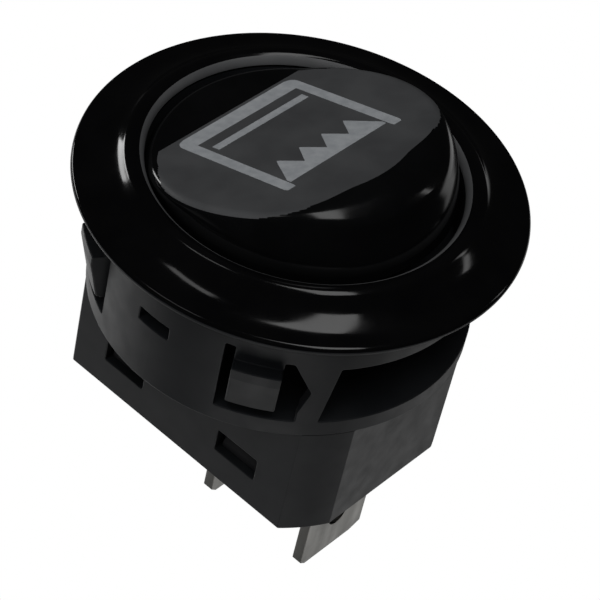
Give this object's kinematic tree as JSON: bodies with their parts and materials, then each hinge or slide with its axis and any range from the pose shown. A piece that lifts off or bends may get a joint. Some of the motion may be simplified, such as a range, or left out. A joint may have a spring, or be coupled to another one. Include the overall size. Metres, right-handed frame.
{
  "type": "oven grill switch",
  "caption": "Round-bezel snap-in rocker switch with a tilting gloss-black button, a latched skirt for a round panel hole, a rectangular body and flat blade terminals.",
  "frame": {"origin": "centre of the flange's underside, the plane that seats on the panel", "axes": "+Z out of the panel towards the user, X along the rocker's travel and the body's long side with +X at the raised end and the load terminal, Y along the rocker's pivot"},
  "size_m": [0.0298, 0.0298, 0.0341],
  "materials": {
    "housing_black": "gloss bezel over a satin skirt and body",
    "base_black": "satin moulding",
    "rocker_black": "gloss",
    "ivory": "smooth moulding",
    "spring_steel": "drawn wire",
    "brass": "stamped strip",
    "contact_silver": "polished silver alloy",
    "tinned": "tin-plated stamping"
  },
  "bodies": {
    "body": {"housing": "housing_black", "base": "base_black", "common_terminal": "tinned", "load_terminal": "tinned", "fixed_contact": "contact_silver"},
    "rocker_body": {"rocker": "rocker_black", "plunger_spring": "spring_steel"},
    "plunger_body": {"plunger": "ivory"},
    "lever_body": {"contact_lever": "brass", "moving_contact": "contact_silver"}
  },
  "joints": [
    {"name": "rocker_tilt", "type": "hinge", "parent": "body", "child": "rocker_body", "pos_m": [0, 0, -0.0007], "axis": [0, 1, 0], "range_deg": [0, 17.5]},
    {"name": "lever_rock", "type": "hinge", "parent": "body", "child": "lever_body", "pos_m": [0, 0, -0.01252], "axis": [0, 1, 0], "range_deg": [-20, 0]},
    {"name": "plunger_slide", "type": "slide", "parent": "rocker_body", "child": "plunger_body", "axis": [-0.1521, 0, 0.9884], "range_m": [0, 0.0006], "stiffness_N_per_m": 800, "springref_m": -0.002, "deforming": ["plunger_spring"]}
  ],
  "couplings": [
    {"joint": "lever_rock", "follows": "rocker_tilt", "ratio": -1.1429}
  ]
}
